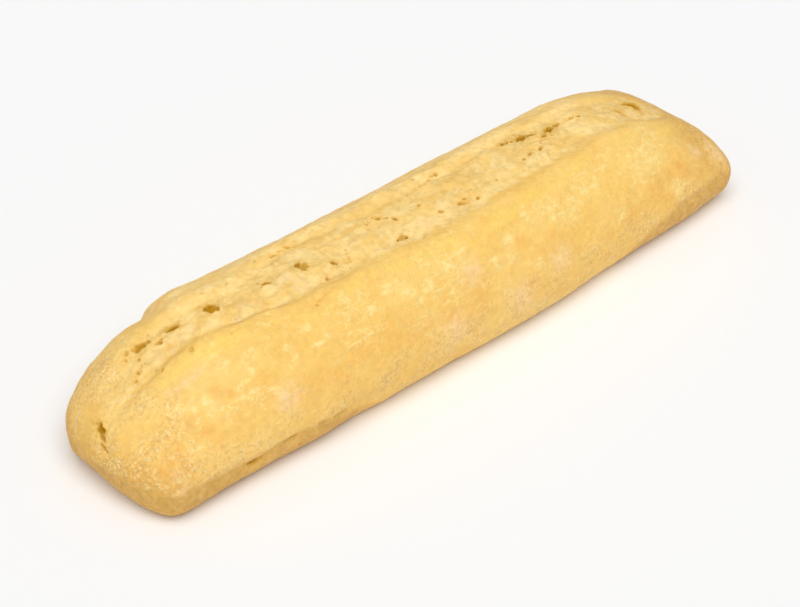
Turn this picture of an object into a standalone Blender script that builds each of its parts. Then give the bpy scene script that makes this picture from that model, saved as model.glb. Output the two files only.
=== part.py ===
"""A short, pale, part-baked baguette with blunt ends and one long slash along its top.

The loaf lies along X on its flat base, with the near side toward -Y. Its origin is the middle of the
base, and all sizes are in metres. The form is a rounded section swept along X and rounded off at both
ends. The slash, the folds and the lumps are relief on that form, and the larger pores are cut out of it.
"""
import math

import bmesh
import bpy
import numpy as np
from mathutils import Vector, noise
from mathutils.bvhtree import BVHTree

MM = 0.001

# The whole loaf
LENGTH = 260 * MM
WIDTH = 66 * MM
HEIGHT = 41 * MM
BASE_WIDTH = 49 * MM
WAIST_HEIGHT = 11 * MM
SIDE_FULLNESS = 2.55
TOP_FULLNESS = 1.75
BOW = 5.2 * MM
TAPER = 0.006

# How far in from each end the sides, the top and the underside start to round off
LEFT_NEAR_CORNER = 10.5 * MM
LEFT_FAR_CORNER = 57 * MM
RIGHT_NEAR_CORNER = 12.5 * MM
RIGHT_FAR_CORNER = 8.5 * MM
LEFT_SHOULDER = 50 * MM
RIGHT_SHOULDER = 55 * MM
UNDER_CORNER = 16 * MM
CORNER_FULLNESS = 2.15
SHOULDER_FULLNESS = 1.3
TIP_ROUNDING = 9 * MM
TIP_SHARE = 0.14

# The mesh: rings along the loaf, and rows around each ring
RINGS = 92
ROWS_FAR = 13
ROWS_SLASH = 9
ROWS_NEAR = 11
ROWS_EDGE = 5
ROWS_BASE = 8
CREASE_ROW_SHARES = (0.30, 0.47)
LIP_ROW_SHARES = (0.53, 0.72)
RING_GUIDE_CORNER = 14 * MM
SECTION_STEPS = 240
STATION_STEPS = 4001
SMALLEST_STEP = 1e-9

# The slash: the near lip and the far crease as lines of (along, across), and the relief between them
NEAR_LIP = [(-128, -11), (-122, -6), (-96, -5), (-82, -11), (-70, -11.5), (-60, -14.5), (-36, -16),
            (12, -18), (30, -16.5), (54, -15.5), (61, -15), (68, -12.5), (76, -14), (86, -12), (100, -13),
            (107, -10.5), (112, -8), (119, -5), (126, -3)]
FAR_CREASE = [(-129, -12), (-127, -5), (-124.5, 0), (-112, 6.5), (-103, 9), (-90, 7.5), (-78, 3.5),
              (-66, 5), (-50, 9), (-25, 6), (28, 5.5), (45, 8.5), (63, 5), (90, 6), (104, 7),
              (117, 5), (126, 2)]
LINE_CORNER = 5 * MM
LINE_SAMPLES = 5
WOBBLE = 1.0 * MM
WOBBLE_SCALE = 11 * MM
LIP_LAYER = 3.7
CREASE_LAYER = 8.1
SLASH_CLOSES = 122 * MM
SLASH_CLOSING = 14 * MM
SLASH_FAINT = 0.4
SLASH_FAINT_FROM = -124 * MM
SLASH_FAINT_TO = -98 * MM
LIP_DROP = 1.7 * MM
LIP_STEP = 2.8 * MM
LIP_RIDGE = 0.5 * MM
LIP_RIDGE_WIDTH = 3.5 * MM
LIP_RIDGE_OFFSET = 2.1 * MM
FLOOR_SWELL = 1.2 * MM
FLOOR_SWELL_FROM = 0.15
FLOOR_SWELL_TO = 0.6
CREASE_DEPTH = 0.6 * MM
CREASE_WIDTH = 1.8 * MM
FAR_RIDGE = 0.6 * MM
FAR_RIDGE_OFFSET = 4.5 * MM
FAR_RIDGE_WIDTH = 3.5 * MM
SLASH_LOWEST = 9 * MM
SLASH_WHOLE = 15 * MM

# The flap of crust on the far shoulder, steep at its left edge, with a nick beside it
FLAP_FROM = -88.5 * MM
FLAP_STEEP = 1.5 * MM
FLAP_REACH = 28 * MM
FLAP_ACROSS = 24 * MM
FLAP_WIDTH = 9 * MM
FLAP_PROUD = 1.3 * MM
NICK_ALONG = -91.5 * MM
NICK_LENGTH = 6 * MM
NICK_DEPTH = 1.2 * MM

# The toe of dough at the near corner of the left end
TOE_ALONG = -121 * MM
TOE_ACROSS = -28 * MM
TOE_REACH = 9 * MM
TOE_PROUD = 1.6 * MM

# The fold low on the near side as (along, up), where the dough rolled over its base
FOLD_LINE = [(-118, 10.5), (-95, 8.8), (-80, 10.2), (-55, 9.2), (80, 11), (92, 12.4), (118, 11.5)]
FOLD_DEPTH = 0.8 * MM
FOLD_WIDTH = 1.5 * MM
FOLD_STRETCHES = [(-118, -46), (84, 120)]
FOLD_FADE = 9 * MM

# The dent low on the near side, where the fold fades out
DENT_ALONG = -53 * MM
DENT_HEIGHT = 5 * MM
DENT_LENGTH = 10 * MM
DENT_REACH = 8 * MM
DENT_DEPTH = 1.2 * MM

# Lumps over the whole crust as (height, scale), more of them on the slash's floor, and none at the base
LUMPS = [(1.4 * MM, 50 * MM), (0.35 * MM, 13 * MM)]
FLOOR_LUMPS = (0.6 * MM, 7 * MM)
LUMP_LAYER = 6.0
BASE_CALM = 4 * MM

# Pores on the top as (along, across, length, width, depth, turn in degrees), each a real hole in the crust
PORES = [
    (-125.4, -1.4, 5.2, 1.6, 1.3, -118),
    (-103.4, 8.4, 7.4, 2.0, 1.6, -12),
    (-94.2, 5.4, 4.8, 1.9, 1.5, -22),
    (-81.9, 0.6, 5.0, 3.2, 1.7, -21),
    (-62.0, -0.7, 3.8, 1.5, 1.1, -14),
    (-49.5, -1.8, 4.4, 3.2, 1.6, -21),
    (-40.7, -6.9, 2.4, 1.8, 1.0, -9),
    (-15.8, -11.0, 3.8, 2.4, 1.2, -18),
    (10.5, -9.8, 4.2, 2.2, 0.9, -25),
    (43.4, 5.0, 3.4, 1.9, 1.2, -10),
    (50.0, 3.2, 5.0, 3.0, 1.7, 10),
    (60.0, 0.4, 5.0, 2.8, 1.5, 18),
    (102.4, 2.1, 7.8, 2.6, 1.6, -86),
]
PORE_BALL_DETAIL = 2
PORE_DROP_FROM = 80 * MM

CRUST_COLOUR = (0.90, 0.59, 0.20, 1.0)
CRUST_ROUGHNESS = 0.72


def clear_scene():
    """Remove whatever the file opened with."""
    for thing in list(bpy.data.objects):
        bpy.data.objects.remove(thing, do_unlink=True)


def collection(name):
    """A new collection in the scene."""
    made = bpy.data.collections.new(name)
    bpy.context.scene.collection.children.link(made)
    return made


def crust_material():
    """Dry, matt, golden yellow crust."""
    material = bpy.data.materials.new("crust")
    material.use_nodes = True
    shader = material.node_tree.nodes["Principled BSDF"]
    shader.inputs["Base Color"].default_value = CRUST_COLOUR
    shader.inputs["Roughness"].default_value = CRUST_ROUGHNESS
    shader.inputs["Metallic"].default_value = 0.0
    return material


def smooth_step(low, high, value):
    """Rise from 0 at low to 1 at high, level at both."""
    share = np.clip((value - low) / (high - low), 0.0, 1.0)
    return share * share * (3.0 - 2.0 * share)


def bell(distance, width):
    """1 at no distance, dying away to nothing at about twice the width."""
    return np.exp(-(distance / width) ** 2)


def bumps(points, height, scale, layer=0.0):
    """Smooth random heights at some points, with lumps about as wide as the scale."""
    places = points / scale + layer
    return height * np.array([noise.noise(Vector(place)) for place in places])


def rounding(gap, reach, fullness):
    """How full the loaf is at a gap from its end, from 0 at the tip to 1 at the reach."""
    share = np.clip(1.0 - gap / reach, 0.0, 1.0)
    return np.maximum(1.0 - share ** fullness, 0.0) ** (1.0 / fullness)


def dome_outline():
    """The upper half of the section as (across, up), from the far waist over the top to the near waist."""
    turn = np.linspace(0.0, math.pi, SECTION_STEPS)
    across = np.sign(np.cos(turn)) * np.abs(np.cos(turn)) ** (2 / SIDE_FULLNESS) * WIDTH / 2
    up = WAIST_HEIGHT + (HEIGHT - WAIST_HEIGHT) * np.sin(turn).clip(0.0) ** (2 / TOP_FULLNESS)
    return np.column_stack([across, up])


def under_outline():
    """The lower half of the section as (across, up), from the near waist under the base to the far waist."""
    turn = np.linspace(0.0, math.pi / 2, ROWS_EDGE + 1)
    overhang = (WIDTH - BASE_WIDTH) / 2
    edge = np.column_stack([BASE_WIDTH / 2 + overhang * np.cos(turn), WAIST_HEIGHT * (1 - np.sin(turn))])
    base = np.linspace(-BASE_WIDTH / 2, BASE_WIDTH / 2, ROWS_BASE + 1)[1:-1]
    base = np.column_stack([base, np.zeros_like(base)])
    return np.concatenate([edge * [-1, 1], base, edge[:0:-1]])


def shaped(section, x):
    """The section's points as they lie at a station x, narrowed and lowered toward the loaf's ends."""
    across, up = section.T
    gap = LENGTH / 2 - abs(x)
    far = smooth_step(-WIDTH / 2, WIDTH / 2, across)
    if x < 0:
        corner = LEFT_NEAR_CORNER + (LEFT_FAR_CORNER - LEFT_NEAR_CORNER) * far
        shoulder = LEFT_SHOULDER
    else:
        corner = RIGHT_NEAR_CORNER + (RIGHT_FAR_CORNER - RIGHT_NEAR_CORNER) * far
        shoulder = RIGHT_SHOULDER
    wide = rounding(gap, corner, CORNER_FULLNESS) * (1 - TAPER * x / (LENGTH / 2))
    over = (1 - TIP_SHARE) * rounding(gap, shoulder, SHOULDER_FULLNESS)
    over += TIP_SHARE * rounding(gap, TIP_ROUNDING, CORNER_FULLNESS)
    under = rounding(gap, UNDER_CORNER, CORNER_FULLNESS)
    tall = np.where(up > WAIST_HEIGHT, over, under)
    bow = BOW * ((x / (LENGTH / 2)) ** 2 - 0.5)
    return np.column_stack([across * wide + bow, WAIST_HEIGHT + (up - WAIST_HEIGHT) * tall])


def drawn_line(points, x):
    """Across value at x of a line through points given in millimetres, its corners rounded."""
    along, across = np.array(points).T * MM
    shifts = np.linspace(-LINE_CORNER, LINE_CORNER, LINE_SAMPLES)
    return np.mean([np.interp(x + shift, along, across) for shift in shifts], axis=0)


def wobble(x, layer):
    """How far a line of the slash strays across the loaf at x."""
    places = np.column_stack([x, 0 * x, 0 * x])
    return bumps(places, WOBBLE, WOBBLE_SCALE, layer)


def near_lip(x):
    """Across value of the slash's near lip at x."""
    return drawn_line(NEAR_LIP, x) + wobble(x, LIP_LAYER)


def far_crease(x):
    """Across value of the slash's far crease at x."""
    return drawn_line(FAR_CREASE, x) + wobble(x, CREASE_LAYER)


def ring_points(x, dome, under):
    """One ring of the loaf, its rows gathered so that two of them follow the lip and the crease."""
    over = shaped(dome, x)
    steps = np.linalg.norm(np.diff(over, axis=0), axis=1) + SMALLEST_STEP
    share = np.concatenate([[0.0], np.cumsum(steps)]) / steps.sum()
    here = np.array([x])
    crease = np.clip(np.interp(-far_crease(here)[0], -over[:, 0], share), *CREASE_ROW_SHARES)
    lip = np.clip(np.interp(-near_lip(here)[0], -over[:, 0], share), *LIP_ROW_SHARES)
    rows = np.concatenate([
        np.linspace(0.0, crease, ROWS_FAR, endpoint=False),
        np.linspace(crease, lip, ROWS_SLASH, endpoint=False),
        np.linspace(lip, 1.0, ROWS_NEAR, endpoint=False),
    ])
    top = np.column_stack([np.interp(rows, share, column) for column in over.T])
    return np.concatenate([top, shaped(under, x)])


def stations():
    """Where the rings lie along X, evenly spaced along the outline that is seen from above."""
    turn = np.linspace(-math.pi / 2, math.pi / 2, STATION_STEPS)
    x = np.sin(turn) * LENGTH / 2
    side = WIDTH / 2 * rounding(LENGTH / 2 - np.abs(x), RING_GUIDE_CORNER, CORNER_FULLNESS)
    steps = np.hypot(np.diff(x), np.diff(side))
    reach = np.concatenate([[0.0], np.cumsum(steps)])
    return np.interp(np.linspace(0.0, reach[-1], RINGS + 1), reach, x)


def slash_relief(x, y, z):
    """Height of the slash's lips, floor and crease over the plain form."""
    lip = near_lip(x)
    crease = far_crease(x)
    slope = (far_crease(x + MM) - far_crease(x - MM)) / (2 * MM)
    from_lip = y - lip
    from_crease = (y - crease) / np.sqrt(1 + slope ** 2)
    share = from_lip / np.maximum(crease - lip, LIP_STEP)
    floor = smooth_step(0.0, LIP_STEP, from_lip) * (1 - smooth_step(-LIP_STEP, 2 * LIP_STEP, from_crease))
    swell = smooth_step(FLOOR_SWELL_FROM, FLOOR_SWELL_TO, share) * FLOOR_SWELL
    height = floor * (swell - LIP_DROP)
    height += LIP_RIDGE * bell(from_lip + LIP_RIDGE_OFFSET, LIP_RIDGE_WIDTH)
    height += FAR_RIDGE * bell(from_crease - FAR_RIDGE_OFFSET, FAR_RIDGE_WIDTH)
    height -= CREASE_DEPTH * bell(from_crease, CREASE_WIDTH)
    opens = 1 - smooth_step(SLASH_CLOSES - SLASH_CLOSING, SLASH_CLOSES, x)
    opens *= SLASH_FAINT + (1 - SLASH_FAINT) * smooth_step(SLASH_FAINT_FROM, SLASH_FAINT_TO, x)
    above = smooth_step(SLASH_LOWEST, SLASH_WHOLE, z)
    return height * opens * above, floor * opens * above


def flap_relief(x, y, z):
    """The flap of crust on the far shoulder, and the nick beside it."""
    across = bell(y - FLAP_ACROSS, FLAP_WIDTH) * smooth_step(0.0, WAIST_HEIGHT, z)
    flap = smooth_step(FLAP_FROM - FLAP_STEEP, FLAP_FROM + FLAP_STEEP, x)
    flap *= FLAP_PROUD * (1 - smooth_step(FLAP_FROM, FLAP_FROM + FLAP_REACH, x))
    nick = NICK_DEPTH * bell(x - NICK_ALONG, NICK_LENGTH)
    return (flap - nick) * across


def toe_relief(x, y, z):
    """The toe of dough at the near corner of the left end."""
    away = np.hypot(np.hypot(x - TOE_ALONG, y - TOE_ACROSS), z)
    return TOE_PROUD * bell(away, TOE_REACH)


def fold_relief(x, y, z):
    """The fold low on the near side."""
    along, up = np.array(FOLD_LINE).T * MM
    share = np.zeros_like(x)
    for start, end in FOLD_STRETCHES:
        rise = smooth_step(start * MM, start * MM + FOLD_FADE, x)
        share += rise * (1 - smooth_step(end * MM - FOLD_FADE, end * MM, x))
    return -FOLD_DEPTH * share * bell(z - np.interp(x, along, up), FOLD_WIDTH) * (y < 0)


def dent_relief(x, y, z):
    """The dent low on the near side."""
    return -DENT_DEPTH * bell(x - DENT_ALONG, DENT_LENGTH) * bell(z - DENT_HEIGHT, DENT_REACH) * (y < 0)


def relief(points):
    """Height of the crust over the plain form at each point."""
    x, y, z = points.T
    slash, floor = slash_relief(x, y, z)
    height = slash + flap_relief(x, y, z) + toe_relief(x, y, z)
    height += fold_relief(x, y, z) + dent_relief(x, y, z)
    for number, (lump, scale) in enumerate(LUMPS):
        height += bumps(points, lump, scale, layer=LUMP_LAYER + number)
    height += floor * bumps(points, *FLOOR_LUMPS, layer=LUMP_LAYER + len(LUMPS))
    return height * smooth_step(0.0, BASE_CALM, z)


def crust_mesh():
    """The loaf before its pores are cut: a sphere whose rings and rows are laid along the loaf."""
    ball = bmesh.new()
    around = ROWS_FAR + ROWS_SLASH + ROWS_NEAR + 2 * ROWS_EDGE + ROWS_BASE
    bmesh.ops.create_uvsphere(ball, u_segments=around, v_segments=RINGS, radius=1.0)
    dome = dome_outline()
    under = under_outline()
    places = stations()
    rings = [ring_points(x, dome, under) for x in places]
    for vert in ball.verts:
        ring = round((1 - math.acos(max(-1.0, min(1.0, vert.co.z))) / math.pi) * RINGS)
        row = round(math.atan2(vert.co.y, vert.co.x) / math.tau * around) % around
        across, up = rings[ring][row]
        vert.co = (places[ring], across, up)
    ball.normal_update()
    points = np.array([vert.co for vert in ball.verts])
    normals = np.array([vert.normal for vert in ball.verts])
    points += normals * relief(points)[:, None]
    points[:, 2] = np.maximum(points[:, 2], 0.0)
    points[:, :2] -= (points[:, :2].min(axis=0) + points[:, :2].max(axis=0)) / 2
    for vert, point in zip(ball.verts, points):
        vert.co = point
    mesh = bpy.data.meshes.new("baguette")
    ball.to_mesh(mesh)
    ball.free()
    mesh.shade_smooth()
    return mesh


def pore_cutter(name, pore, surface):
    """A flattened ball, sunk to its middle in the crust where the pore lies."""
    along, across, length, width, depth, turn = pore
    start = Vector((along, across, 0)) * MM + Vector((0, 0, PORE_DROP_FROM))
    place, normal, _, _ = surface.ray_cast(start, Vector((0, 0, -1)))
    ball = bmesh.new()
    bmesh.ops.create_icosphere(ball, subdivisions=PORE_BALL_DETAIL, radius=1.0)
    bmesh.ops.scale(ball, verts=ball.verts, vec=Vector((length / 2, width / 2, depth)) * MM)
    mesh = bpy.data.meshes.new(name)
    ball.to_mesh(mesh)
    ball.free()
    cutter = bpy.data.objects.new(name, mesh)
    cutter.location = place
    cutter.rotation_mode = "QUATERNION"
    lean = Vector((0, 0, 1)).rotation_difference(normal)
    spin = Vector((1, 0, 0)).rotation_difference(
        Vector((math.cos(math.radians(turn)), math.sin(math.radians(turn)), 0)))
    cutter.rotation_quaternion = lean @ spin
    cutter.display_type = "WIRE"
    cutter.hide_render = True
    return cutter


def build():
    """The loaf as one solid, with its larger pores cut out."""
    clear_scene()
    parts = collection("baguette")
    cutters = collection("pore_cutters")
    mesh = crust_mesh()
    mesh.materials.append(crust_material())
    loaf = bpy.data.objects.new("baguette", mesh)
    parts.objects.link(loaf)
    faces = bmesh.new()
    faces.from_mesh(mesh)
    surface = BVHTree.FromBMesh(faces)
    faces.free()
    for number, pore in enumerate(PORES):
        cutters.objects.link(pore_cutter(f"pore_{number}", pore, surface))
    cut = loaf.modifiers.new("pores", "BOOLEAN")
    cut.operation = "DIFFERENCE"
    cut.operand_type = "COLLECTION"
    cut.collection = cutters
    cut.solver = "EXACT"


build()
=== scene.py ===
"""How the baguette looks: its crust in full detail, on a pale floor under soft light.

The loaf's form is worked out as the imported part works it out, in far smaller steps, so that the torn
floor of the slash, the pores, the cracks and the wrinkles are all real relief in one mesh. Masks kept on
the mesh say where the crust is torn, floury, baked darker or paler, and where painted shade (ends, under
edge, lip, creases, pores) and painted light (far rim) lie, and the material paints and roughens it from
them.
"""

import math
import random

import bmesh
import bpy
import numpy as np
from mathutils import Matrix, Vector, noise
from mathutils.bvhtree import BVHTree


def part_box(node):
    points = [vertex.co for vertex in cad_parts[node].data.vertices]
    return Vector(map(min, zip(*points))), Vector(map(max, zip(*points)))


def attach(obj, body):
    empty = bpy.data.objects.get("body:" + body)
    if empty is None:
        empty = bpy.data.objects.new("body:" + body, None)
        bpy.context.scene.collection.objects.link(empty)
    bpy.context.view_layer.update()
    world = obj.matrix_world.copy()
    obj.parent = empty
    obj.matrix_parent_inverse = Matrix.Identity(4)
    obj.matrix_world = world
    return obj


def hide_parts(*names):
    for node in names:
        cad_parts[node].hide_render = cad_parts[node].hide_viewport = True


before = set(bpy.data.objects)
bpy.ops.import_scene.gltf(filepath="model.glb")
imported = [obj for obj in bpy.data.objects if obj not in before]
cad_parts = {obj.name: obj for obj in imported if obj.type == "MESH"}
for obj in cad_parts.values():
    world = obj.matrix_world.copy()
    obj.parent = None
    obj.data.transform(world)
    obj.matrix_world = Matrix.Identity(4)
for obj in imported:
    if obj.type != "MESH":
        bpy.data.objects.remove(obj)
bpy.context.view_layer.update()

MM = 0.001

# The whole loaf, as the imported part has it
LENGTH = 260 * MM
WIDTH = 66 * MM
HEIGHT = 41 * MM
BASE_WIDTH = 49 * MM
WAIST_HEIGHT = 11 * MM
SIDE_FULLNESS = 2.55
TOP_FULLNESS = 1.75
BOW = 5.2 * MM
TAPER = 0.006

# How far in from each end the sides, the top and the underside start to round off
LEFT_NEAR_CORNER = 10.5 * MM
LEFT_FAR_CORNER = 57 * MM
RIGHT_NEAR_CORNER = 12.5 * MM
RIGHT_FAR_CORNER = 8.5 * MM
LEFT_SHOULDER = 50 * MM
RIGHT_SHOULDER = 55 * MM
UNDER_CORNER = 16 * MM
CORNER_FULLNESS = 2.15
SHOULDER_FULLNESS = 1.3
TIP_ROUNDING = 9 * MM
TIP_SHARE = 0.14

# The mesh: rings along the loaf, rows around each ring, and finer faces at the pores. The rows add up to
# a multiple of four, so that each vertex of the sphere falls on one of them.
RINGS = 344
ROWS_FAR = 46
ROWS_SLASH = 46
ROWS_NEAR = 58
ROWS_EDGE = 12
ROWS_BASE = 14
CREASE_ROW_SHARES = (0.30, 0.47)
LIP_ROW_SHARES = (0.53, 0.72)
RING_GUIDE_CORNER = 14 * MM
SECTION_STEPS = 720
STATION_STEPS = 4001
SMALLEST_STEP = 1e-9
PORE_MARGIN = 0.8 * MM
PORE_CUTS = 3

# The slash: the near lip and the far crease as lines of (along, across), and the relief between them
NEAR_LIP = [(-128, -11), (-122, -6), (-96, -5), (-82, -11), (-70, -11.5), (-60, -14.5), (-36, -16),
            (12, -18), (30, -16.5), (54, -15.5), (61, -15), (68, -12.5), (76, -14), (86, -12), (100, -13),
            (107, -10.5), (112, -8), (119, -5), (126, -3)]
FAR_CREASE = [(-129, -12), (-127, -5), (-124.5, 0), (-112, 6.5), (-103, 9), (-90, 7.5), (-78, 3.5),
              (-66, 5), (-50, 9), (-25, 6), (28, 5.5), (45, 8.5), (63, 5), (90, 6), (104, 7),
              (117, 5), (126, 2)]
LINE_CORNER = 5 * MM
LINE_SAMPLES = 5
WOBBLE = 1.0 * MM
WOBBLE_SCALE = 11 * MM
LIP_LAYER = 3.7
CREASE_LAYER = 8.1
SLASH_CLOSES = 122 * MM
SLASH_CLOSING = 14 * MM
SLASH_FAINT = 0.4
SLASH_FAINT_FROM = -124 * MM
SLASH_FAINT_TO = -98 * MM
LIP_DROP = 1.7 * MM
LIP_STEP = 2.8 * MM
LIP_STEP_SOFT = 6.5 * MM
LIP_SHARPNESS = [(-128, 0.3), (-112, 0.4), (-104, 0.6), (-96, 0.5), (-88, 0.1), (-80, 1.0), (-67, 0.9),
                 (-60, 0.5), (-50, 0.6), (-36, 0.4), (-29, 0.0), (-16, 0.1), (-12, 0.7), (-4, 0.5),
                 (4, 0.1), (18, 0.3), (40, 0.2), (62, 0.3), (90, 0.2), (110, 0.1)]
LIP_RIDGE = 0.5 * MM
LIP_RIDGE_WIDTH = 3.5 * MM
LIP_RIDGE_OFFSET = 2.1 * MM
FLOOR_SWELL = 1.2 * MM
FLOOR_SWELL_FROM = 0.15
FLOOR_SWELL_TO = 0.6
CREASE_DEPTH = 0.55 * MM
CREASE_WIDTH = 1.8 * MM
FAR_RIDGE = 0.6 * MM
FAR_RIDGE_OFFSET = 4.5 * MM
FAR_RIDGE_WIDTH = 3.5 * MM
SLASH_LOWEST = 9 * MM
SLASH_WHOLE = 15 * MM

# The flap of crust on the far shoulder, steep at its left edge, with a nick beside it
FLAP_FROM = -88.5 * MM
FLAP_STEEP = 1.5 * MM
FLAP_REACH = 28 * MM
FLAP_ACROSS = 24 * MM
FLAP_WIDTH = 9 * MM
FLAP_PROUD = 1.3 * MM
NICK_ALONG = -91.5 * MM
NICK_LENGTH = 6 * MM
NICK_DEPTH = 1.2 * MM

# The toe of dough at the near corner of the left end
TOE_ALONG = -121 * MM
TOE_ACROSS = -28 * MM
TOE_REACH = 9 * MM
TOE_PROUD = 1.6 * MM

# The fold low on the near side as (along, up), and the dent where it fades out
FOLD_LINE = [(-118, 10.5), (-95, 8.8), (-80, 10.2), (-55, 9.2), (80, 11), (92, 12.4), (118, 11.5)]
FOLD_DEPTH = 0.8 * MM
FOLD_WIDTH = 1.5 * MM
FOLD_STRETCHES = [(-118, -46), (84, 120)]
FOLD_FADE = 9 * MM
DENT_ALONG = -53 * MM
DENT_HEIGHT = 5 * MM
DENT_LENGTH = 10 * MM
DENT_REACH = 8 * MM
DENT_DEPTH = 1.2 * MM

# The low ledge behind the slot near the right end
LEDGE_ALONG = 105 * MM
LEDGE_ACROSS = 2 * MM
LEDGE_LENGTH = 3.2 * MM
LEDGE_WIDTH = 6 * MM
LEDGE_PROUD = 1.4 * MM

# Lumps over the whole crust as (height, scale), more of them on the slash's floor, and none at the base
LUMPS = [(1.4 * MM, 50 * MM), (0.35 * MM, 13 * MM)]
FLOOR_LUMPS = (0.6 * MM, 7 * MM)
LUMP_LAYER = 6.0
BASE_CALM = 4 * MM

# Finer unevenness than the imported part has, as (height, scale)
CRUST_GRAIN = [(0.17 * MM, 5 * MM), (0.1 * MM, 2.4 * MM)]
TORN_GRAIN = [(0.5 * MM, 9 * MM), (0.32 * MM, 4 * MM), (0.16 * MM, 1.9 * MM)]
GRAIN_LAYER = 21.0

# How torn the far rim looks, and where along Y that ends
TORN_RIM = 0.7
TORN_RIM_ENDS = (17 * MM, 25 * MM)

# Creases between the lumps of the torn floor
CREASES_SCALE = 6.5 * MM
CREASES_WARP = 2.6 * MM
CREASES_WARP_SCALE = 5 * MM
CREASES_WIDTH = 0.2
CREASES_DEPTH = 0.3 * MM
CREASES_LAYER = 12.0
CREASES_BROKEN = (-0.1, 0.2)
LEAST_TORN = 0.02

# Pores and pits on the top as (along, across, length, width, depth, turn in degrees)
PORES = [
    (-125.4, -1.4, 5.4, 2.4, 1.3, -118), (-126.5, -3.5, 4.6, 1.4, 0.8, -114),
    (-127.7, -5.9, 5.0, 1.2, 0.65, -112), (-103.4, 8.4, 7.8, 2.6, 1.0, -12),
    (-107.0, 10.0, 3.2, 1.6, 0.6, 30), (-94.2, 5.4, 5.0, 2.3, 1.35, -22),
    (-99.3, 4.4, 3.2, 2.0, 0.7, -30), (-81.9, 0.6, 5.2, 4.0, 1.25, -21), (-83.4, 2.2, 2.6, 1.8, 1.2, 20),
    (-62.0, -0.7, 4.0, 1.5, 1.0, -14), (-49.3, -2.2, 5.2, 4.4, 0.8, -21),
    (-50.3, -0.8, 3.4, 1.7, 1.2, 24), (-40.7, -6.9, 2.2, 2.0, 1.0, -9),
    (-15.8, -11.0, 3.6, 2.6, 0.7, -18), (-15.0, -11.6, 1.2, 1.1, 1.2, 0),
    (-17.9, -11.0, 1.1, 0.9, 1.0, 0), (10.5, -9.8, 4.6, 2.8, 0.6, -25), (10.1, -9.4, 2.0, 1.3, 0.8, -25),
    (49.8, 3.2, 4.6, 3.6, 1.5, 10), (53.4, 2.6, 4.2, 2.0, 1.2, -8), (43.4, 5.0, 3.4, 2.2, 1.2, -10),
    (46.0, 3.9, 1.8, 1.2, 0.9, 20), (60.0, 0.4, 5.0, 3.2, 1.4, 18), (56.6, -0.9, 3.0, 2.0, 1.0, 30),
    (64.4, 1.4, 3.8, 2.2, 1.0, 15), (50.2, -5.4, 2.2, 1.4, 0.9, 20), (44.9, -5.8, 3.4, 1.2, 0.8, 12),
    (41.4, -6.5, 1.6, 1.2, 0.8, 0), (74.2, 0.2, 1.3, 1.1, 1.1, 0), (71.0, 1.0, 3.4, 1.6, 0.6, 8),
    (102.2, 1.4, 8.8, 3.8, 1.1, -86), (102.6, 1.6, 6.2, 2.4, 1.5, -86), (92.4, -2.7, 6.4, 3.6, 0.7, -78),
    (-95.8, -6.7, 3.0, 2.4, 0.5, 20), (-104.8, -4.7, 2.0, 1.3, 0.6, 35), (-108.6, 8.4, 2.0, 1.3, 0.6, 60),
    (-109.5, 1.7, 2.2, 1.4, 0.7, 80), (-111.4, 0.3, 1.6, 1.2, 0.6, 80), (-98.3, 5.0, 1.4, 1.1, 0.6, 0),
    (-46.1, -10.3, 1.9, 1.2, 0.8, 70), (-56.9, -17.8, 1.3, 1.2, 0.6, 0), (-12.0, 4.0, 1.5, 1.2, 0.7, 0),
    (-2.0, -3.0, 1.6, 1.3, 0.7, 30), (2.0, -9.2, 2.2, 1.3, 0.7, -30), (16.3, -11.2, 1.9, 1.2, 0.8, 10),
    (12.2, -8.8, 1.5, 1.1, 0.7, -40), (27.0, -8.5, 1.4, 1.1, 0.6, 0), (-80.0, 7.4, 1.2, 1.0, 0.6, 0),
]
PORE_DROP_FROM = 80 * MM
PORE_RAGGED = 0.42
PORE_RAGGED_SCALE = 1.2 * MM
PORE_WALL = 0.3
# The insides darken toward the middle, more in deeper pores: partly browner crust, partly painted shade
PORE_DARK = (0.35, 1.22)
PORE_REACH = 3.2
PORE_STAIN = 2.1
STAIN_RAGGED = 2
PORE_LAYER = 33.0
DEEPEST_PORE = 1.5 * MM

# Slots low on the near side as (along, up, length, width, depth, turn in degrees)
SIDE_PORES = [
    (-94.2, 8.6, 6.4, 1.5, 1.1, 4), (-80.6, 10.2, 9.0, 0.8, 0.6, -2), (-68.8, 9.5, 5.0, 0.7, 0.4, -4),
    (-61.8, 9.2, 8.0, 0.8, 0.5, 0),
]
SIDE_PORE_FROM = 60 * MM

# Cracks on the top as (width, depth, line of (along, across)), each a chain of small pits
CRACKS = [
    (1.1, 0.9, [(-52, 9), (-46.5, 9.3), (-41, 7)]),
    (1.2, 1.0, [(-22.5, -2), (-21, 0.5), (-17, 1.6), (-13.5, -1.5), (-12, -3.5)]),
    (0.9, 0.8, [(-1, 4), (6, 5), (11, 6)]),
    (1.5, 0.9, [(10, 6), (15, 7)]),
    (0.7, 0.6, [(-36, -9), (-34, -4)]),
    (0.7, 0.5, [(-57, -17.5), (-48, -15.5)]),
    (0.8, 0.6, [(-106, 6), (-108, 2), (-112, -1)]),
    (0.7, 0.5, [(19.5, -14), (28, -13)]),
    (0.8, 0.6, [(51, -4), (56, -1)]),
    (0.7, 0.5, [(44, -10.5), (52, -9)]),
    (0.7, 0.5, [(66, 3.2), (71, 1.2), (76, 1.6)]),
    (0.7, 0.5, [(-84, -11.5), (-79, -12)]),
]
CRACK_PITCH = 1.15 * MM
CRACK_STRAY = 0.35 * MM
CRACK_SEED = 5

# The pits of a crack: their length in millimetres, and how their width, depth and turn vary
PIT_LENGTH = (1.3, 2.3)
PIT_WIDTH = (0.6, 1.2)
PIT_DEPTH = (0.3, 1.0)
PIT_TURN = 25
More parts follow.
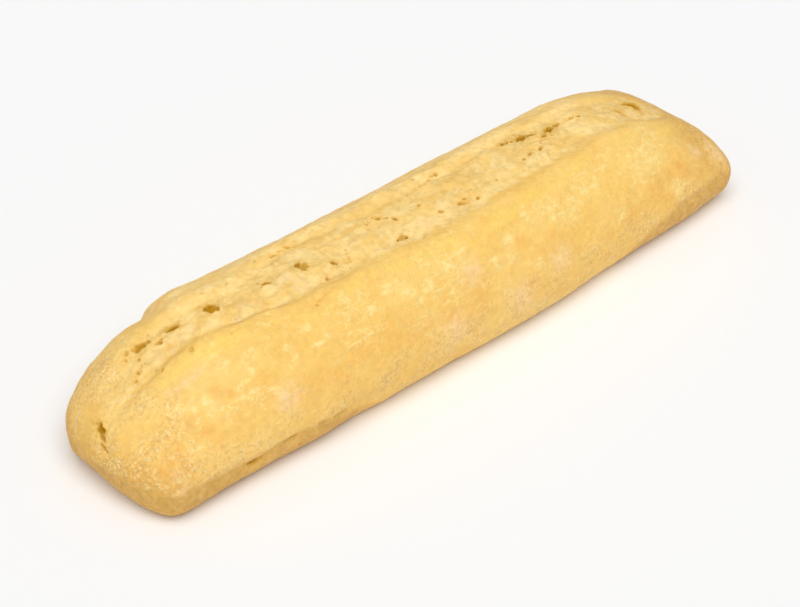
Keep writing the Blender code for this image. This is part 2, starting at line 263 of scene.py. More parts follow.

# Where the under edge of the crust turns darker as (along, up), and how softly: partly duller baked crust,
# partly painted shade below the waist
DULL_EDGE = [(-130, 12), (-118, 11.5), (-100, 10.5), (-80, 10.5), (-62, 9), (-45, 4), (-30, 2), (50, 2),
             (66, 6), (80, 11), (92, 13), (118, 12.5), (130, 13.5)]
DULL_SOFTNESS = 1.5 * MM
DULL_LOWEST = (3 * MM, 8 * MM)

# Marks on the crust as (along, across, up, radius), by what they look like
MARKS = {
    "pale": [
        (-60, -25, 32, 1.9), (-64, -25, 31, 1.7), (-64, -21, 35, 1.7), (-48, -20, 37, 1.9),
        (-73, -23, 33, 1.9), (-72, -25, 31, 1.3), (-91, -23, 30, 1.5), (-86, -22, 32, 1.5),
        (-89, -23, 30, 1.3), (-34, -23, 36, 2.3), (-30, -24, 35, 2.1), (-28, -26, 33, 2.0),
        (-26, -29, 30, 2.0), (-43, -21, 37, 1.9), (-17, -29, 29, 2.4), (-92, -17, 34, 1.9),
        (-112, -26, 21, 1.7), (-110, -28, 20, 1.7), (-113, -22, 23, 1.3), (-110, -16, 27, 2.3),
        (-106, -20, 27, 2.7), (-101, -23, 27, 2.4), (-102, -21, 28, 2.1), (3, -21, 38, 1.7),
        (24, -23, 36, 1.6), (24, -25, 35, 1.3), (34, -27, 32, 1.3), (13, -27, 32, 2.1), (6, -29, 29, 2.7),
        (12, -29, 29, 2.3), (22, -33, 22, 2.1), (44, -25, 33, 1.9), (50, -25, 33, 2.2),
        (56, -25, 33, 2.2), (91, -30, 19, 2.7), (-9, -25, 34, 2.1), (-21, -27, 32, 2.4),
        (62, -32, 22, 2.3), (-42, -25, 33, 2.6), (-51, -24, 34, 2.4),
    ],
    "warm": [
        (30, -30, 28, 3.0), (19, -29, 30, 3.0), (10, -21, 38, 1.8), (-108, -24, 24, 4.5),
        (-114, -24, 20, 4.5), (-117, -29, 16, 4.0), (-126, -18, 15, 4.0), (-123, -26, 15, 4.0),
        (-61, -32, 21, 5.5), (-50, -30, 27, 5.5), (-41, -30, 27, 5.5), (-15, -33, 22, 6.0),
        (-95, -27, 24, 5.5), (-87, -27, 27, 5.5), (-34, -31, 25, 5.5), (-4, -32, 23, 6.0),
        (78, -30, 24, 5.0), (67, -32, 21, 6.0), (95, -29, 24, 4.5), (86, -31, 17, 4.0),
        (-75, -31, 22, 6.0), (16, -34, 17, 5.0),
    ],
    "brown": [
        (-98, -20, 30, 1.8), (-97, -21, 29, 1.8), (-95, -23, 29, 1.6), (83, -29, 23, 1.9),
        (88, -29, 24, 2.2), (95, -28, 24, 2.0), (98, -29, 21, 2.2), (-126, -19, 16, 2.4),
        (-123, -25, 16, 2.6), (-109, -22, 25, 1.6), (-106, -26, 23, 1.8), (11, -9, 40, 3.4),
        # The last mark on the next line, beside the flap's steep edge, is painted shadow.
        (-118, -25.5, 19, 2.8), (-121, -27.5, 15.5, 2.6), (-116, -28.5, 17, 2.0), (-87, 17.5, 35.5, 4.5),
    ],
    "pink": [
        (-108, -12, 29, 1.1), (-105.5, -12.5, 30, 1.2), (-103, -13, 31, 1.2), (-100.5, -13.5, 32, 1.2),
        (-98, -14, 33, 1.1), (116, -24, 20, 3.4), (118, -26, 18, 3.4), (107, -26, 25, 2.6),
        (-119, -29, 15.5, 1.8), (-120, -31, 11, 2.6), (65, -9, 39, 2.8), (71, -9, 39, 2.8),
        (76, -10, 39, 2.8), (-4, -29, 30, 4.0), (12, -35, 15, 5.0), (-16, -34, 17, 5.0),
        (-79, -30, 23, 4.0), (31, -34, 20, 4.0),
    ],
    "dusted": [
        (-124.5, 12.5, 18.5, 3.6), (-125.5, 9.5, 17, 3.4), (-127.5, 7, 14, 3.0), (-121.5, 15, 19, 3.0),
    ],
    "bare": [
        (-123.5, 4.5, 22, 2.6), (-125.6, 3, 19.5, 2.8), (-127.3, 1.8, 16.5, 2.8), (-128.5, 0, 12.5, 2.8),
    ],
    "crumb": [
        (-7, -11.4, 39, 2.6), (-2.6, -11.5, 39, 2.6), (5.6, -11.5, 39, 2.6), (9.2, -12.5, 39, 2.4),
        (14, -13.1, 39, 2.6), (-101.8, 0.2, 32, 2.4), (-99, -2, 33, 2.6), (-94, 0.2, 35, 2.4),
        (-90, 0.3, 37, 2.4), (-115, -2.3, 26, 2.0), (-112, -2.3, 27, 2.0), (68.6, -3.0, 40, 1.6),
        (71.6, -4.3, 40, 1.4), (74.4, -3.2, 40, 1.3), (-84.3, -8.7, 39, 2.8), (-79, -8, 38.5, 3.0),
        (-72.7, -3.7, 39, 3.0), (-56.7, -3, 40, 2.8), (-55.6, -8.6, 39, 2.8),
    ],
}
MARK_REACH = 3.0
MARK_RAGGED = 0.75
MARK_RAGGED_SCALE = 2.0 * MM
MARK_LAYER = 60.0

# Flour low on the sides, on the left end, on the right end and on the far rim, as (share, start, full)
FLOUR_SPREADS = [(0.8, 26 * MM, 13 * MM), (1.25, -100 * MM, -118 * MM), (0.7, 96 * MM, 118 * MM),
                 (0.85, 12 * MM, 26 * MM)]
FLOUR_LEVEL = 0.65
FLOUR_PATCHES = (1.1, 9 * MM)
FLOUR_LAYER = 41.0
FLOUR_LOST = 0.6

# Patches on the sides as (share, height, height of their band, squeeze along X, from, scale, layer)
PALE_PATCHES = (0.7, 31 * MM, 7 * MM, 0.6, -0.25, 12 * MM, 43.0)
WARM_PATCHES = (0.8, 22 * MM, 8 * MM, 1.0, 0.0, 11 * MM, 45.0)
PATCHES_WHOLE = 0.4

# Where the ends and the far rim turn duller: the ends darker, partly as more baked crust and partly as
# painted shade, and the far rim paler, with painted light laid on it by the material
LEFT_END = (-110 * MM, -123 * MM)
LEFT_END_TOP = (13 * MM, 21 * MM)
RIGHT_END = (94 * MM, 114 * MM)
RIGHT_END_SLANT = 0.5
RIM_FROM_CREASE = (-9 * MM, 2 * MM)
RIM_LEFT = (-98 * MM, -84 * MM)
RIM_RIGHT = (76 * MM, 92 * MM)

# The golden strip below the slash's lip, and a painted shadow line along the lip, both broken by bumps
STRIP_OFFSET = 3.5 * MM
STRIP_WIDTH = 3.2 * MM
STRIP_SQUEEZE = 0.5
STRIP_BROKEN = (-0.5, 0.3)
STRIP_SCALE = 9 * MM
STRIP_LAYER = 49.0
LIP_LINE_OFFSET = 0.9 * MM
LIP_LINE_WIDTH = 0.9 * MM
LIP_LINE_BROKEN = (-0.35, 0.25)
LIP_LINE_SCALE = 5 * MM
LIP_LINE_LAYER = 47.0

# Noises of the crust's material as (size, detail, distortion, roughness, how drawn out along X, how far
# they are pushed about, size of that push)
NOISES = {
    "cloud": (13 * MM, 4.0, 0.5, 0.5, 1.7, 0, 0),
    "patch": (3.2 * MM, 5.0, 0.5, 0.6, 1, 0, 0),
    "fine": (1.2 * MM, 4.0, 0.0, 0.65, 1, 0, 0),
    "dapple": (2.2 * MM, 3.0, 0.3, 0.5, 1, 0, 0),
    "clump": (1.7 * MM, 4.0, 0.0, 0.7, 1, 0.6 * MM, 1.6 * MM),
    "fleck": (1.9 * MM, 4.0, 0.0, 0.7, 1.5, 1.2 * MM, 3 * MM),
    "wave": (3.4 * MM, 2.0, 0.0, 0.5, 4.0, 2.5 * MM, 9 * MM),
    "mottle": (5.5 * MM, 4.0, 0.4, 0.5, 1.7, 0, 0),
    "sheen": (6 * MM, 3.0, 0.0, 0.5, 1, 0, 0),
}

# Spots as (size, share of the cells, whole inside, gone past, how far pushed about, size of that push)
SPOTS = {
    "grain": (1.15 * MM, 0.55, 0.15, 0.6, 0.4 * MM, 1 * MM),
    "speck": (3.4 * MM, 0.3, 0.08, 0.17, 0.6 * MM, 1.5 * MM),
}

# Values of the material spread from (low, high) onto 0 to 1, or onto (start, end) where those follow
RAMPS = {
    "cloud": (0.36, 0.66), "patch": (0.32, 0.68), "clump": (0.5, 0.62), "mottle": (0.34, 0.66),
    "unbroken": (0.0, 0.5, 1.0, 0.0), "strip": (0.35, 1.2), "baked": (0.0, 1.0, 0.45, 1.0),
    "flecks": (0.56, 0.78), "streak": (0.0, 0.03, 1.0, 0.0), "streak_pale": (0.05, 0.4),
    "streak_patch": (0.1, 0.7), "pinkish": (0.3, 0.6, 0.5, 1.0), "browned": (0.3, 0.6, 0.4, 1.0),
    "floury": (0.1, 1.3), "powder": (0.0, 1.0, 0.22, 0.06), "gaps": (0.5, 0.36), "torn": (0.2, 0.85),
    "shadow": (0.52, 0.36), "crumb": (0.55, 1.3), "specks": (0.0, 1.0, 0.25, 0.8), "stained": (0.4, 1.2),
    "hollow": (0.22, 0.85), "deep": (0.45, 1.15), "sandy": (0.0, 0.7, 0.4, 1.0),
    "fine_shade": (0.3, 0.7, -0.07, 0.07), "dapple_shade": (0.3, 0.7, -0.035, 0.035),
    "patch_shade": (0.0, 1.0, -0.02, 0.02), "roughness": (0.3, 0.7, 0.6, 0.8),
    "gloss": (0.0, 0.6, 0.5, 0.1),
}

# How much of a noise is added to a mask, to break its edge up
BREAKS = {"strip": 0.3, "flecks": 0.2, "floury": 0.35, "crumb": 0.5, "stained": 0.4, "hollow": 0.4,
          "deep": 0.3}
TORN_BREAK = 0.35

# Pairs of colours, as they look on a screen from 0 to 255, that a noise shades between
SHADES = {
    "gold": ((248, 200, 103), (251, 208, 116)), "grains": ((250, 207, 127), (255, 228, 158)),
    # The under-edge pair is partly duller crust and partly painted shade.
    "torn": ((248, 205, 116), (255, 222, 147)), "dull_and_shaded": ((216, 166, 78), (230, 182, 96)),
    "specks": ((190, 140, 60), (215, 170, 74)), "hollow": ((202, 156, 58), (182, 131, 14)),
}

# Coats laid over a colour, as (how thick, colour)
COATS = {
    "rim": (0.85, (250, 209, 131)), "strip": (0.8, (253, 211, 104)), "warm": (0.8, (244, 185, 86)),
    # The end coat is partly more baked crust and partly painted shade.
    "end": (0.95, (221, 168, 76)), "pale": (0.4, (253, 217, 132)), "flecks": (0.75, (255, 231, 152)),
    "streak": (0.85, (255, 228, 150)), "pinkish": (0.9, (252, 213, 152)),
    "browned": (0.7, (233, 172, 78)), "bare": (0.6, (234, 187, 96)), "powder": (1.0, (249, 206, 130)),
    "gaps": (0.55, (222, 168, 88)), "shadow": (0.35, (232, 190, 102)), "crumb": (0.7, (254, 221, 155)),
    # The creased coat is painted shade in the torn floor's creases.
    "creased": (0.35, (220, 176, 94)), "lip_shadow_line": (0.4, (208, 168, 88)),
    "stained": (0.85, (222, 173, 76)),
}
PALE_MARKS = 0.9
CLUMPS = 0.9
GRAINS_COVER = 0.85
DULL_COVER = 0.92
SPECKS_COVER = 0.6
# How much brighter the far rim is laid: painted light
RIM_PAINTED_LIGHT = 0.05

# Heights of the finest relief
FINE_BUMP = 0.18 * MM
GRAIN_BUMP = 0.12 * MM
FLECK_BUMP = 0.04 * MM
SPECK_BUMP = -0.2 * MM
PATCH_BUMP = 0.14 * MM

# The camera, where the photo was taken from, and its lens on a sensor of the usual width
CAMERA_AZIMUTH = math.radians(-42.74)
CAMERA_ELEVATION = math.radians(37.08)
CAMERA_DISTANCE = 650 * MM
CAMERA_TARGET = Vector((-21.91, -15.95, 20.5)) * MM
CAMERA_LENS = 94.57
SENSOR_WIDTH = 36.0

# Light and floor
WORLD_COLOUR = (1.0, 1.0, 1.0, 1.0)
WORLD_STRENGTH = 0.38
KEY_FROM = Vector((-0.24, -0.34, 0.91))
KEY_ANGLE = math.radians(60)
KEY_STRENGTH = 2.12
FLOOR_SIZE = 2.0
FLOOR_DROP = 0.2 * MM
FLOOR_COLOUR = (0.96, 0.96, 0.96, 1.0)
FLOOR_ROUGHNESS = 0.9


def smooth_step(low, high, value):
    """Rise from 0 at low to 1 at high, level at both."""
    share = np.clip((value - low) / (high - low), 0.0, 1.0)
    return share * share * (3.0 - 2.0 * share)


def bell(distance, width):
    """1 at no distance, dying away to nothing at about twice the width."""
    return np.exp(-(distance / width) ** 2)


def bumps(points, height, scale, layer=0.0):
    """Smooth random heights at some points, with lumps about as wide as the scale."""
    places = points / scale + layer
    return height * np.array([noise.noise(place) for place in places.tolist()])


def rounding(gap, reach, fullness):
    """How full the loaf is at a gap from its end, from 0 at the tip to 1 at the reach."""
    share = np.clip(1.0 - gap / reach, 0.0, 1.0)
    return np.maximum(1.0 - share ** fullness, 0.0) ** (1.0 / fullness)


def dome_outline():
    """The upper half of the section as (across, up), from the far waist over the top to the near waist."""
    turn = np.linspace(0.0, math.pi, SECTION_STEPS)
    across = np.sign(np.cos(turn)) * np.abs(np.cos(turn)) ** (2 / SIDE_FULLNESS) * WIDTH / 2
    up = WAIST_HEIGHT + (HEIGHT - WAIST_HEIGHT) * np.sin(turn).clip(0.0) ** (2 / TOP_FULLNESS)
    return np.column_stack([across, up])


def under_outline():
    """The lower half of the section as (across, up), from the near waist under the base to the far waist."""
    turn = np.linspace(0.0, math.pi / 2, ROWS_EDGE + 1)
    overhang = (WIDTH - BASE_WIDTH) / 2
    edge = np.column_stack([BASE_WIDTH / 2 + overhang * np.cos(turn), WAIST_HEIGHT * (1 - np.sin(turn))])
    base = np.linspace(-BASE_WIDTH / 2, BASE_WIDTH / 2, ROWS_BASE + 1)[1:-1]
    base = np.column_stack([base, np.zeros_like(base)])
    return np.concatenate([edge * [-1, 1], base, edge[:0:-1]])


def shaped(section, x):
    """The section's points as they lie at a station x, narrowed and lowered toward the loaf's ends."""
    across, up = section.T
    gap = LENGTH / 2 - abs(x)
    far = smooth_step(-WIDTH / 2, WIDTH / 2, across)
    if x < 0:
        corner = LEFT_NEAR_CORNER + (LEFT_FAR_CORNER - LEFT_NEAR_CORNER) * far
        shoulder = LEFT_SHOULDER
    else:
        corner = RIGHT_NEAR_CORNER + (RIGHT_FAR_CORNER - RIGHT_NEAR_CORNER) * far
        shoulder = RIGHT_SHOULDER
    wide = rounding(gap, corner, CORNER_FULLNESS) * (1 - TAPER * x / (LENGTH / 2))
    over = (1 - TIP_SHARE) * rounding(gap, shoulder, SHOULDER_FULLNESS)
    over += TIP_SHARE * rounding(gap, TIP_ROUNDING, CORNER_FULLNESS)
    under = rounding(gap, UNDER_CORNER, CORNER_FULLNESS)
    tall = np.where(up > WAIST_HEIGHT, over, under)
    bow = BOW * ((x / (LENGTH / 2)) ** 2 - 0.5)
    return np.column_stack([across * wide + bow, WAIST_HEIGHT + (up - WAIST_HEIGHT) * tall])


def drawn_line(points, x):
    """Across value at x of a line through points given in millimetres, its corners rounded."""
    along, across = np.array(points).T * MM
    shifts = np.linspace(-LINE_CORNER, LINE_CORNER, LINE_SAMPLES)
    return np.mean([np.interp(x + shift, along, across) for shift in shifts], axis=0)


def wobble(x, layer):
    """How far a line of the slash strays across the loaf at x."""
    places = np.column_stack([x, 0 * x, 0 * x])
    return bumps(places, WOBBLE, WOBBLE_SCALE, layer)


def near_lip(x):
    """Across value of the slash's near lip at x."""
    return drawn_line(NEAR_LIP, x) + wobble(x, LIP_LAYER)


def far_crease(x):
    """Across value of the slash's far crease at x."""
    return drawn_line(FAR_CREASE, x) + wobble(x, CREASE_LAYER)


def lip_sharpness(x):
    """How sharp the slash's near lip is at x."""
    along, sharp = np.array(LIP_SHARPNESS).T
    return np.interp(x, along * MM, sharp)


def ring_points(x, dome, under):
    """One ring of the loaf, its rows gathered so that two of them follow the lip and the crease."""
    over = shaped(dome, x)
    steps = np.linalg.norm(np.diff(over, axis=0), axis=1) + SMALLEST_STEP
    share = np.concatenate([[0.0], np.cumsum(steps)]) / steps.sum()
    here = np.array([x])
    crease = np.clip(np.interp(-far_crease(here)[0], -over[:, 0], share), *CREASE_ROW_SHARES)
    lip = np.clip(np.interp(-near_lip(here)[0], -over[:, 0], share), *LIP_ROW_SHARES)
    rows = np.concatenate([
        np.linspace(0.0, crease, ROWS_FAR, endpoint=False),
        np.linspace(crease, lip, ROWS_SLASH, endpoint=False),
        np.linspace(lip, 1.0, ROWS_NEAR, endpoint=False),
    ])
    top = np.column_stack([np.interp(rows, share, column) for column in over.T])
    return np.concatenate([top, shaped(under, x)])


def stations():
    """Where the rings lie along X, evenly spaced along the outline that is seen from above."""
    turn = np.linspace(-math.pi / 2, math.pi / 2, STATION_STEPS)
    x = np.sin(turn) * LENGTH / 2
    side = WIDTH / 2 * rounding(LENGTH / 2 - np.abs(x), RING_GUIDE_CORNER, CORNER_FULLNESS)
    steps = np.hypot(np.diff(x), np.diff(side))
    reach = np.concatenate([[0.0], np.cumsum(steps)])
    return np.interp(np.linspace(0.0, reach[-1], RINGS + 1), reach, x)


def plain_loaf():
    """The loaf's plain form: a sphere whose rings and rows are laid along the loaf."""
    ball = bmesh.new()
    around = ROWS_FAR + ROWS_SLASH + ROWS_NEAR + 2 * ROWS_EDGE + ROWS_BASE
    bmesh.ops.create_uvsphere(ball, u_segments=around, v_segments=RINGS, radius=1.0)
    dome = dome_outline()
    under = under_outline()
    places = stations()
    rings = [ring_points(x, dome, under) for x in places]
    for vert in ball.verts:
        ring = round((1 - math.acos(max(-1.0, min(1.0, vert.co.z))) / math.pi) * RINGS)
        row = round(math.atan2(vert.co.y, vert.co.x) / math.tau * around) % around
        across, up = rings[ring][row]
        vert.co = (places[ring], across, up)
    ball.normal_update()
    return ball


def slash_relief(x, y, z):
    """Height of the slash's lips, floor and crease over the plain form, and where its floor is."""
    lip = near_lip(x)
    crease = far_crease(x)
    slope = (far_crease(x + MM) - far_crease(x - MM)) / (2 * MM)
    from_lip = y - lip
    from_crease = (y - crease) / np.sqrt(1 + slope ** 2)
    share = from_lip / np.maximum(crease - lip, LIP_STEP)
    step = LIP_STEP_SOFT + (LIP_STEP - LIP_STEP_SOFT) * lip_sharpness(x)
    floor = smooth_step(0.0, step, from_lip) * (1 - smooth_step(-LIP_STEP, 2 * LIP_STEP, from_crease))
    swell = smooth_step(FLOOR_SWELL_FROM, FLOOR_SWELL_TO, share) * FLOOR_SWELL
    height = floor * (swell - LIP_DROP)
    height += LIP_RIDGE * bell(from_lip + LIP_RIDGE_OFFSET, LIP_RIDGE_WIDTH)
    height += FAR_RIDGE * bell(from_crease - FAR_RIDGE_OFFSET, FAR_RIDGE_WIDTH)
    height -= CREASE_DEPTH * bell(from_crease, CREASE_WIDTH)
    opens = 1 - smooth_step(SLASH_CLOSES - SLASH_CLOSING, SLASH_CLOSES, x)
    opens *= SLASH_FAINT + (1 - SLASH_FAINT) * smooth_step(SLASH_FAINT_FROM, SLASH_FAINT_TO, x)
    above = smooth_step(SLASH_LOWEST, SLASH_WHOLE, z)
    return height * opens * above, floor * opens * above


def flap_relief(x, y, z):
    """The flap of crust on the far shoulder, and the nick beside it."""
    across = bell(y - FLAP_ACROSS, FLAP_WIDTH) * smooth_step(0.0, WAIST_HEIGHT, z)
    flap = smooth_step(FLAP_FROM - FLAP_STEEP, FLAP_FROM + FLAP_STEEP, x)
    flap *= FLAP_PROUD * (1 - smooth_step(FLAP_FROM, FLAP_FROM + FLAP_REACH, x))
    nick = NICK_DEPTH * bell(x - NICK_ALONG, NICK_LENGTH)
    return (flap - nick) * across


def toe_relief(x, y, z):
    """The toe of dough at the near corner of the left end."""
    away = np.hypot(np.hypot(x - TOE_ALONG, y - TOE_ACROSS), z)
    return TOE_PROUD * bell(away, TOE_REACH)


def fold_relief(x, y, z):
    """The fold low on the near side."""
    along, up = np.array(FOLD_LINE).T * MM
    share = np.zeros_like(x)
    for start, end in FOLD_STRETCHES:
        rise = smooth_step(start * MM, start * MM + FOLD_FADE, x)
        share += rise * (1 - smooth_step(end * MM - FOLD_FADE, end * MM, x))
    return -FOLD_DEPTH * share * bell(z - np.interp(x, along, up), FOLD_WIDTH) * (y < 0)


def dent_relief(x, y, z):
    """The dent low on the near side."""
    return -DENT_DEPTH * bell(x - DENT_ALONG, DENT_LENGTH) * bell(z - DENT_HEIGHT, DENT_REACH) * (y < 0)


def ledge_relief(x, y, z):
    """The ledge behind the slot near the right end."""
    along = bell(x - LEDGE_ALONG, LEDGE_LENGTH)
    return LEDGE_PROUD * along * bell(y - LEDGE_ACROSS, LEDGE_WIDTH) * (z > WAIST_HEIGHT)


def relief(points):
    """Height of the crust over the plain form at each point, and where the slash's floor is."""
    x, y, z = points.T
    slash, floor = slash_relief(x, y, z)
    height = slash + flap_relief(x, y, z) + toe_relief(x, y, z)
    height += fold_relief(x, y, z) + dent_relief(x, y, z) + ledge_relief(x, y, z)
    for number, (lump, scale) in enumerate(LUMPS):
        height += bumps(points, lump, scale, layer=LUMP_LAYER + number)
    height += floor * bumps(points, *FLOOR_LUMPS, layer=LUMP_LAYER + len(LUMPS))
    return height, floor


def grain(points, floor):
    """Finer unevenness: a quiet crust, and a rougher torn floor."""
    height = np.zeros(len(points))
    for number, (bump, scale) in enumerate(CRUST_GRAIN):
        height += (1 - floor) * bumps(points, bump, scale, layer=GRAIN_LAYER + number)
    for number, (bump, scale) in enumerate(TORN_GRAIN):
        height += floor * bumps(points, bump, scale, layer=GRAIN_LAYER + len(CRUST_GRAIN) + number)
    return height


def creases(points, floor):
    """Where the creases between the torn floor's lumps run, from 0 off them to 1 in their middle."""
    found = np.zeros(len(points))
    torn = np.flatnonzero(floor > LEAST_TORN)
    places = points[torn]
    warped = places / CREASES_SCALE
    for axis in range(3):
        warp = bumps(places, CREASES_WARP, CREASES_WARP_SCALE, layer=CREASES_LAYER + axis)
        warped[:, axis] += warp / CREASES_SCALE
    gaps = np.array([np.diff(noise.voronoi(place)[0][:2])[0] for place in warped.tolist()])
    broken = smooth_step(*CREASES_BROKEN, bumps(places, 1.0, 2 * CREASES_SCALE, layer=CREASES_LAYER + 3))
    found[torn] = (1 - smooth_step(0.0, CREASES_WIDTH, gaps)) * broken * floor[torn]
    return found


class Hollow:
    """A pore or pit: where it lies on the crust, which way it runs, and its size."""

    def __init__(self, surface, start, toward, ahead, size):
        place, normal, _, _ = surface.ray_cast(Vector(start), Vector(toward))
        self.place = np.array(place)
        self.normal = np.array(normal)
        ahead = np.array(ahead) - self.normal * (np.array(ahead) @ self.normal)
        self.ahead = ahead / np.linalg.norm(ahead)
        self.beside = np.cross(self.normal, self.ahead)
        self.length, self.width, self.depth = size

    def away(self, points):
        """How far each point is from the middle, with 1 at the edge."""
        gap = points - self.place
        flat = np.hypot(gap @ self.ahead / (self.length / 2), gap @ self.beside / (self.width / 2))
        return np.hypot(flat, gap @ self.normal / (2 * self.width))


def top_hollow(surface, along, across, length, width, depth, turn):
    """A hollow on the top, from sizes in millimetres and a turn in degrees."""
    ahead = (math.cos(math.radians(turn)), math.sin(math.radians(turn)), 0.0)
    start = (along * MM, across * MM, PORE_DROP_FROM)
    return Hollow(surface, start, (0, 0, -1), ahead, (length * MM, width * MM, depth * MM))


def side_hollow(surface, along, up, length, width, depth, turn):
    """A hollow on the near side, from sizes in millimetres and a turn in degrees."""
    ahead = (math.cos(math.radians(turn)), 0.0, math.sin(math.radians(turn)))
    start = (along * MM, -SIDE_PORE_FROM, up * MM)
    return Hollow(surface, start, (0, 1, 0), ahead, (length * MM, width * MM, depth * MM))


def crack_hollows(surface):
    """The cracks, each a chain of small pits of uneven size along a straying line."""
    draw = random.Random(CRACK_SEED)
    pits = []
    for width, depth, line in CRACKS:
        along, across = np.array(line, float).T
        reach = np.concatenate([[0.0], np.cumsum(np.hypot(np.diff(along), np.diff(across)))])
        for step in np.arange(0.0, reach[-1], CRACK_PITCH / MM):
            x, y = (np.interp(step, reach, column) for column in (along, across))
            ahead_x, ahead_y = (np.interp(step + 1, reach, column) for column in (along, across))
            turn = math.degrees(math.atan2(ahead_y - y, ahead_x - x))
            x += draw.uniform(-CRACK_STRAY, CRACK_STRAY) / MM
            y += draw.uniform(-CRACK_STRAY, CRACK_STRAY) / MM
            length = draw.uniform(*PIT_LENGTH)
            size = (length, width * draw.uniform(*PIT_WIDTH), depth * draw.uniform(*PIT_DEPTH))
            pits.append(top_hollow(surface, x, y, *size, turn + draw.uniform(-PIT_TURN, PIT_TURN)))
    return pits


def all_hollows(surface):
    """Every pore, pit, slot and crack."""
    hollows = [top_hollow(surface, *pore) for pore in PORES]
    hollows += [side_hollow(surface, *pore) for pore in SIDE_PORES]
    return hollows + crack_hollows(surface)


def refine(ball, hollows):
    """Cut the faces around each hollow into finer ones."""
    points = np.array([vert.co for vert in ball.verts])
    near = np.zeros(len(points), bool)
    for hollow in hollows:
        near |= hollow.away(points) < 1 + 2 * PORE_MARGIN / hollow.width
    ball.verts.index_update()
    edges = [edge for edge in ball.edges if near[edge.verts[0].index] and near[edge.verts[1].index]]
    bmesh.ops.subdivide_edges(ball, edges=edges, cuts=PORE_CUTS, use_grid_fill=True)


def hollow_relief(points, hollows):
    """How deep the hollows are, how dark their insides (partly painted shade), and how stained the crust
    around them.
    """
    depth = np.zeros(len(points))
    dark = np.zeros(len(points))
    stain = np.zeros(len(points))
    for number, hollow in enumerate(hollows):
        away = hollow.away(points)
        close = np.flatnonzero(away < PORE_REACH)
        away = away[close]
        ragged = bumps(points[close], PORE_RAGGED, PORE_RAGGED_SCALE, layer=PORE_LAYER + number)
        inside = 1 - smooth_step(PORE_WALL, 1.0, away + ragged)
        share = min(1.0, hollow.depth / DEEPEST_PORE)
        depth[close] = np.maximum(depth[close], hollow.depth * inside)
        wall = 1 - smooth_step(*PORE_DARK, away + ragged)
        dark[close] = np.maximum(dark[close], wall * share)
        stain[close] = np.maximum(stain[close], share * bell(away + STAIN_RAGGED * ragged, PORE_STAIN))
    return depth, dark, stain


def marked(points, surface, marks):
    """How strongly each point lies in one of the marks, whose edges are ragged."""
    found = np.zeros(len(points))
    for number, (*place, radius) in enumerate(marks):
        middle = surface.find_nearest(Vector(place) * MM)[0]
        away = np.linalg.norm(points - np.array(middle), axis=1) / (radius * MM)
        close = np.flatnonzero(away < MARK_REACH)
        ragged = bumps(points[close], MARK_RAGGED, MARK_RAGGED_SCALE, layer=MARK_LAYER + number)
        found[close] = np.maximum(found[close], bell(np.maximum(away[close] + ragged, 0.0), 1.0))
    return found


def flour_mask(points, floor):
    """Where flour clings: low on the sides, at the ends and along the far rim."""
    x, y, z = points.T
    spreads = [share * smooth_step(begin, full, value)
               for (share, begin, full), value in zip(FLOUR_SPREADS, (z, x, x, y))]
    patchy = FLOUR_LEVEL + bumps(points, *FLOUR_PATCHES, layer=FLOUR_LAYER)
    return np.clip(np.maximum.reduce(spreads) * patchy, 0, 1) * (1 - FLOUR_LOST * floor)


def side_patches(points, floor, share, middle, spread, squeeze, begin, scale, layer):
    """Patches of paler or of more baked crust, in a band along the sides."""
    band = bell(points[:, 2] - middle, spread)
    patches = smooth_step(begin, PATCHES_WHOLE, bumps(points * [squeeze, 1, 1], 1.0, scale, layer))
    return share * band * patches * (1 - floor)


def end_bake_and_shade_mask(points):
    """The crust low on the loaf's ends, darker partly as more baked crust and partly as painted shade."""
    x, y, z = points.T
    left = smooth_step(*LEFT_END, x) * (1 - smooth_step(*LEFT_END_TOP, z))
    right = smooth_step(*RIGHT_END, x + RIGHT_END_SLANT * np.maximum(y, 0.0))
    return np.maximum(left, right)


def rim_mask(points):
    """The duller crust beyond the slash's far crease, which the material also lays brighter as painted
    light.
    """
    x, y, z = points.T
    rim = smooth_step(*RIM_FROM_CREASE, y - far_crease(x)) * smooth_step(0.0, WAIST_HEIGHT, z)
    return rim * smooth_step(*RIM_LEFT, x) * (1 - smooth_step(*RIM_RIGHT, x))


def lip_masks(points):
    """The smooth golden strip below the slash's lip, and the painted shadow line along the lip where it is
    sharp.
    """
    x, y, z = points.T
    from_lip = y - near_lip(x)
    along = smooth_step(SLASH_FAINT_FROM, SLASH_FAINT_TO, x) * (1 - smooth_step(SLASH_CLOSES, LENGTH / 2, x))
    patchy = bumps(points * [STRIP_SQUEEZE, 1, 1], 1.0, STRIP_SCALE, layer=STRIP_LAYER)
    strip = bell(from_lip + STRIP_OFFSET, STRIP_WIDTH) * along * (z > SLASH_WHOLE)
    strip *= smooth_step(*STRIP_BROKEN, patchy)
    broken = smooth_step(*LIP_LINE_BROKEN, bumps(points, 1.0, LIP_LINE_SCALE, layer=LIP_LINE_LAYER))
    line = bell(from_lip - LIP_LINE_OFFSET, LIP_LINE_WIDTH) * lip_sharpness(x) * broken * (z > SLASH_WHOLE)
    return strip, line


def dull_and_shaded_mask(points):
    """The darker under edge of the crust: partly duller baked crust, partly painted shade below the waist.
    """
    along, up = np.array(DULL_EDGE).T * MM
    edge = np.interp(points[:, 0], along, up)
    below = 1 - smooth_step(-DULL_SOFTNESS, DULL_SOFTNESS, points[:, 2] - edge)
    return below * smooth_step(*DULL_LOWEST, edge)


def fitted(points, low, high):
    """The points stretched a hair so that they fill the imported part's box."""
    low, high = np.array([low, high])
    mine = points.min(axis=0)
    return low + (points - mine) * (high - low) / (points.max(axis=0) - mine)


